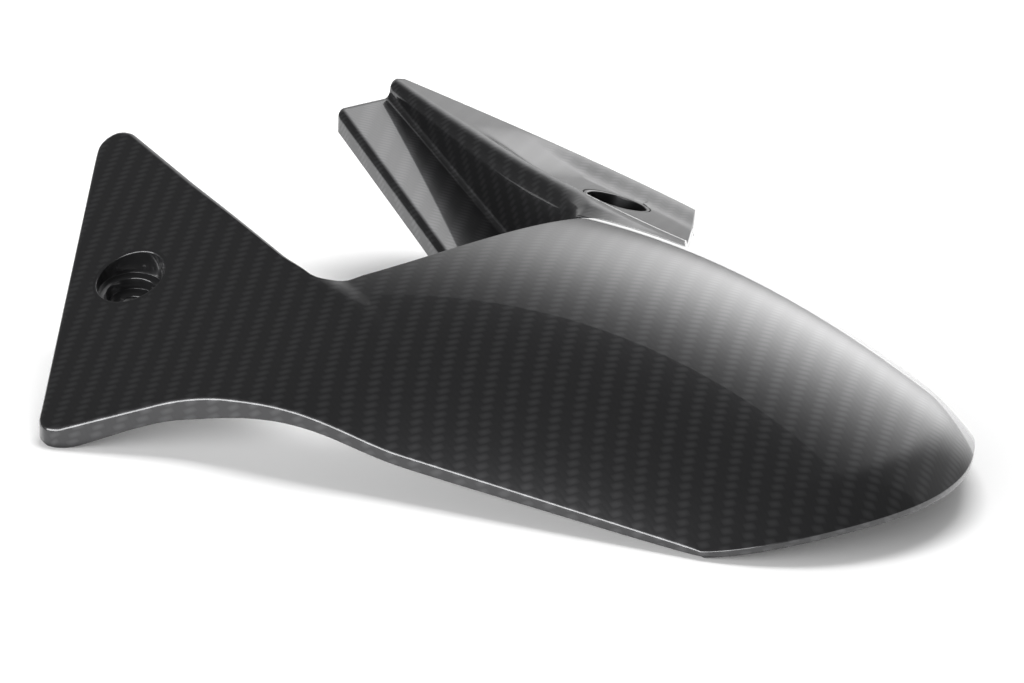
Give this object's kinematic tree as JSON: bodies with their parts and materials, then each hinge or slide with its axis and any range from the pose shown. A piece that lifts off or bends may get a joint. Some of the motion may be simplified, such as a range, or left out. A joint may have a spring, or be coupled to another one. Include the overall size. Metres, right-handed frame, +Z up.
{
  "type": "motorcycle rear fender",
  "caption": "Moulded carbon rear fender that hugs the tyre: a curved arch with a triangular bolt plate on the left and a stepped, ridged arm on the right, folded lips and recessed bolt wells.",
  "frame": {"origin": "middle of the bounding box in plan, on the surface the part lies on", "axes": "+X to the rear of the motorcycle, +Y to its right, +Z up while the part lies on its lower edges"},
  "size_m": [0.3266, 0.2872, 0.0731],
  "materials": {
    "carbon_gloss": "twill-weave carbon under clear gloss lacquer"
  },
  "bodies": {
    "root": {"rear_fender": "carbon_gloss"}
  },
  "joints": []
}
